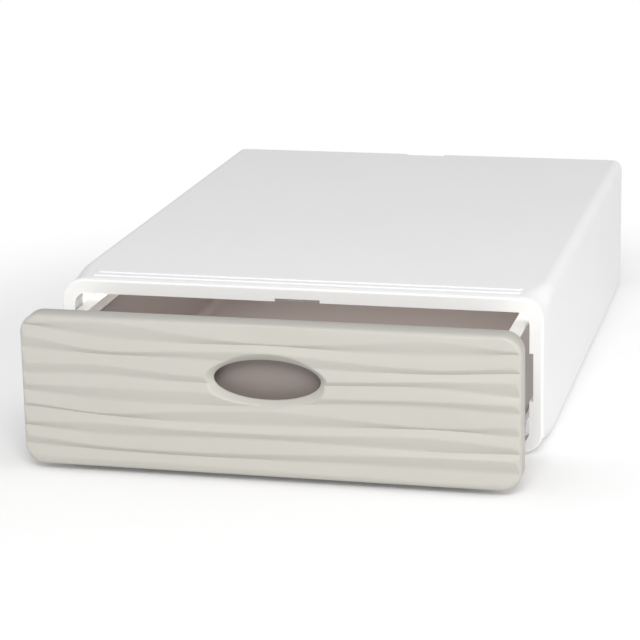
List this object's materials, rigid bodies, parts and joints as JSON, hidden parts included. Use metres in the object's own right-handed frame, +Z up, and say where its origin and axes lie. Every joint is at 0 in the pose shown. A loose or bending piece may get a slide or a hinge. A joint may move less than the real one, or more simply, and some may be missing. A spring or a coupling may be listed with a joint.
{
  "type": "stackable drawer box",
  "caption": "Low stackable drawer box: a white casing on a flat base and a sliding drawer with a rippled cream front and an oval finger hole.",
  "frame": {"origin": "Middle of the casing's flat underside, halfway across its width and halfway along its depth.", "axes": "+X to the right as seen from the front, +Y to the back, +Z up. The drawer opens towards -Y."},
  "size_m": [0.331, 0.5274, 0.108],
  "materials": {
    "casing_white": "satin white moulded plastic",
    "frame_white": "satin white moulded plastic, a little warmer",
    "back_white": "fine-grained white moulded plastic",
    "tub_taupe": "fine-grained taupe moulded plastic",
    "rim_cream": "satin cream moulded plastic",
    "panel_cream": "satin cream moulded plastic with a rippled face"
  },
  "bodies": {
    "casing": {"sleeve": "casing_white", "front_frame": "frame_white", "back_panel": "back_white"},
    "drawer": {"drawer_tub": "tub_taupe", "drawer_rim": "rim_cream", "front_panel": "panel_cream"}
  },
  "joints": [
    {"name": "drawer_slide", "type": "slide", "parent": "casing", "child": "drawer", "axis": [0, -1, 0], "range_m": [-0.0695, 0.28]}
  ]
}
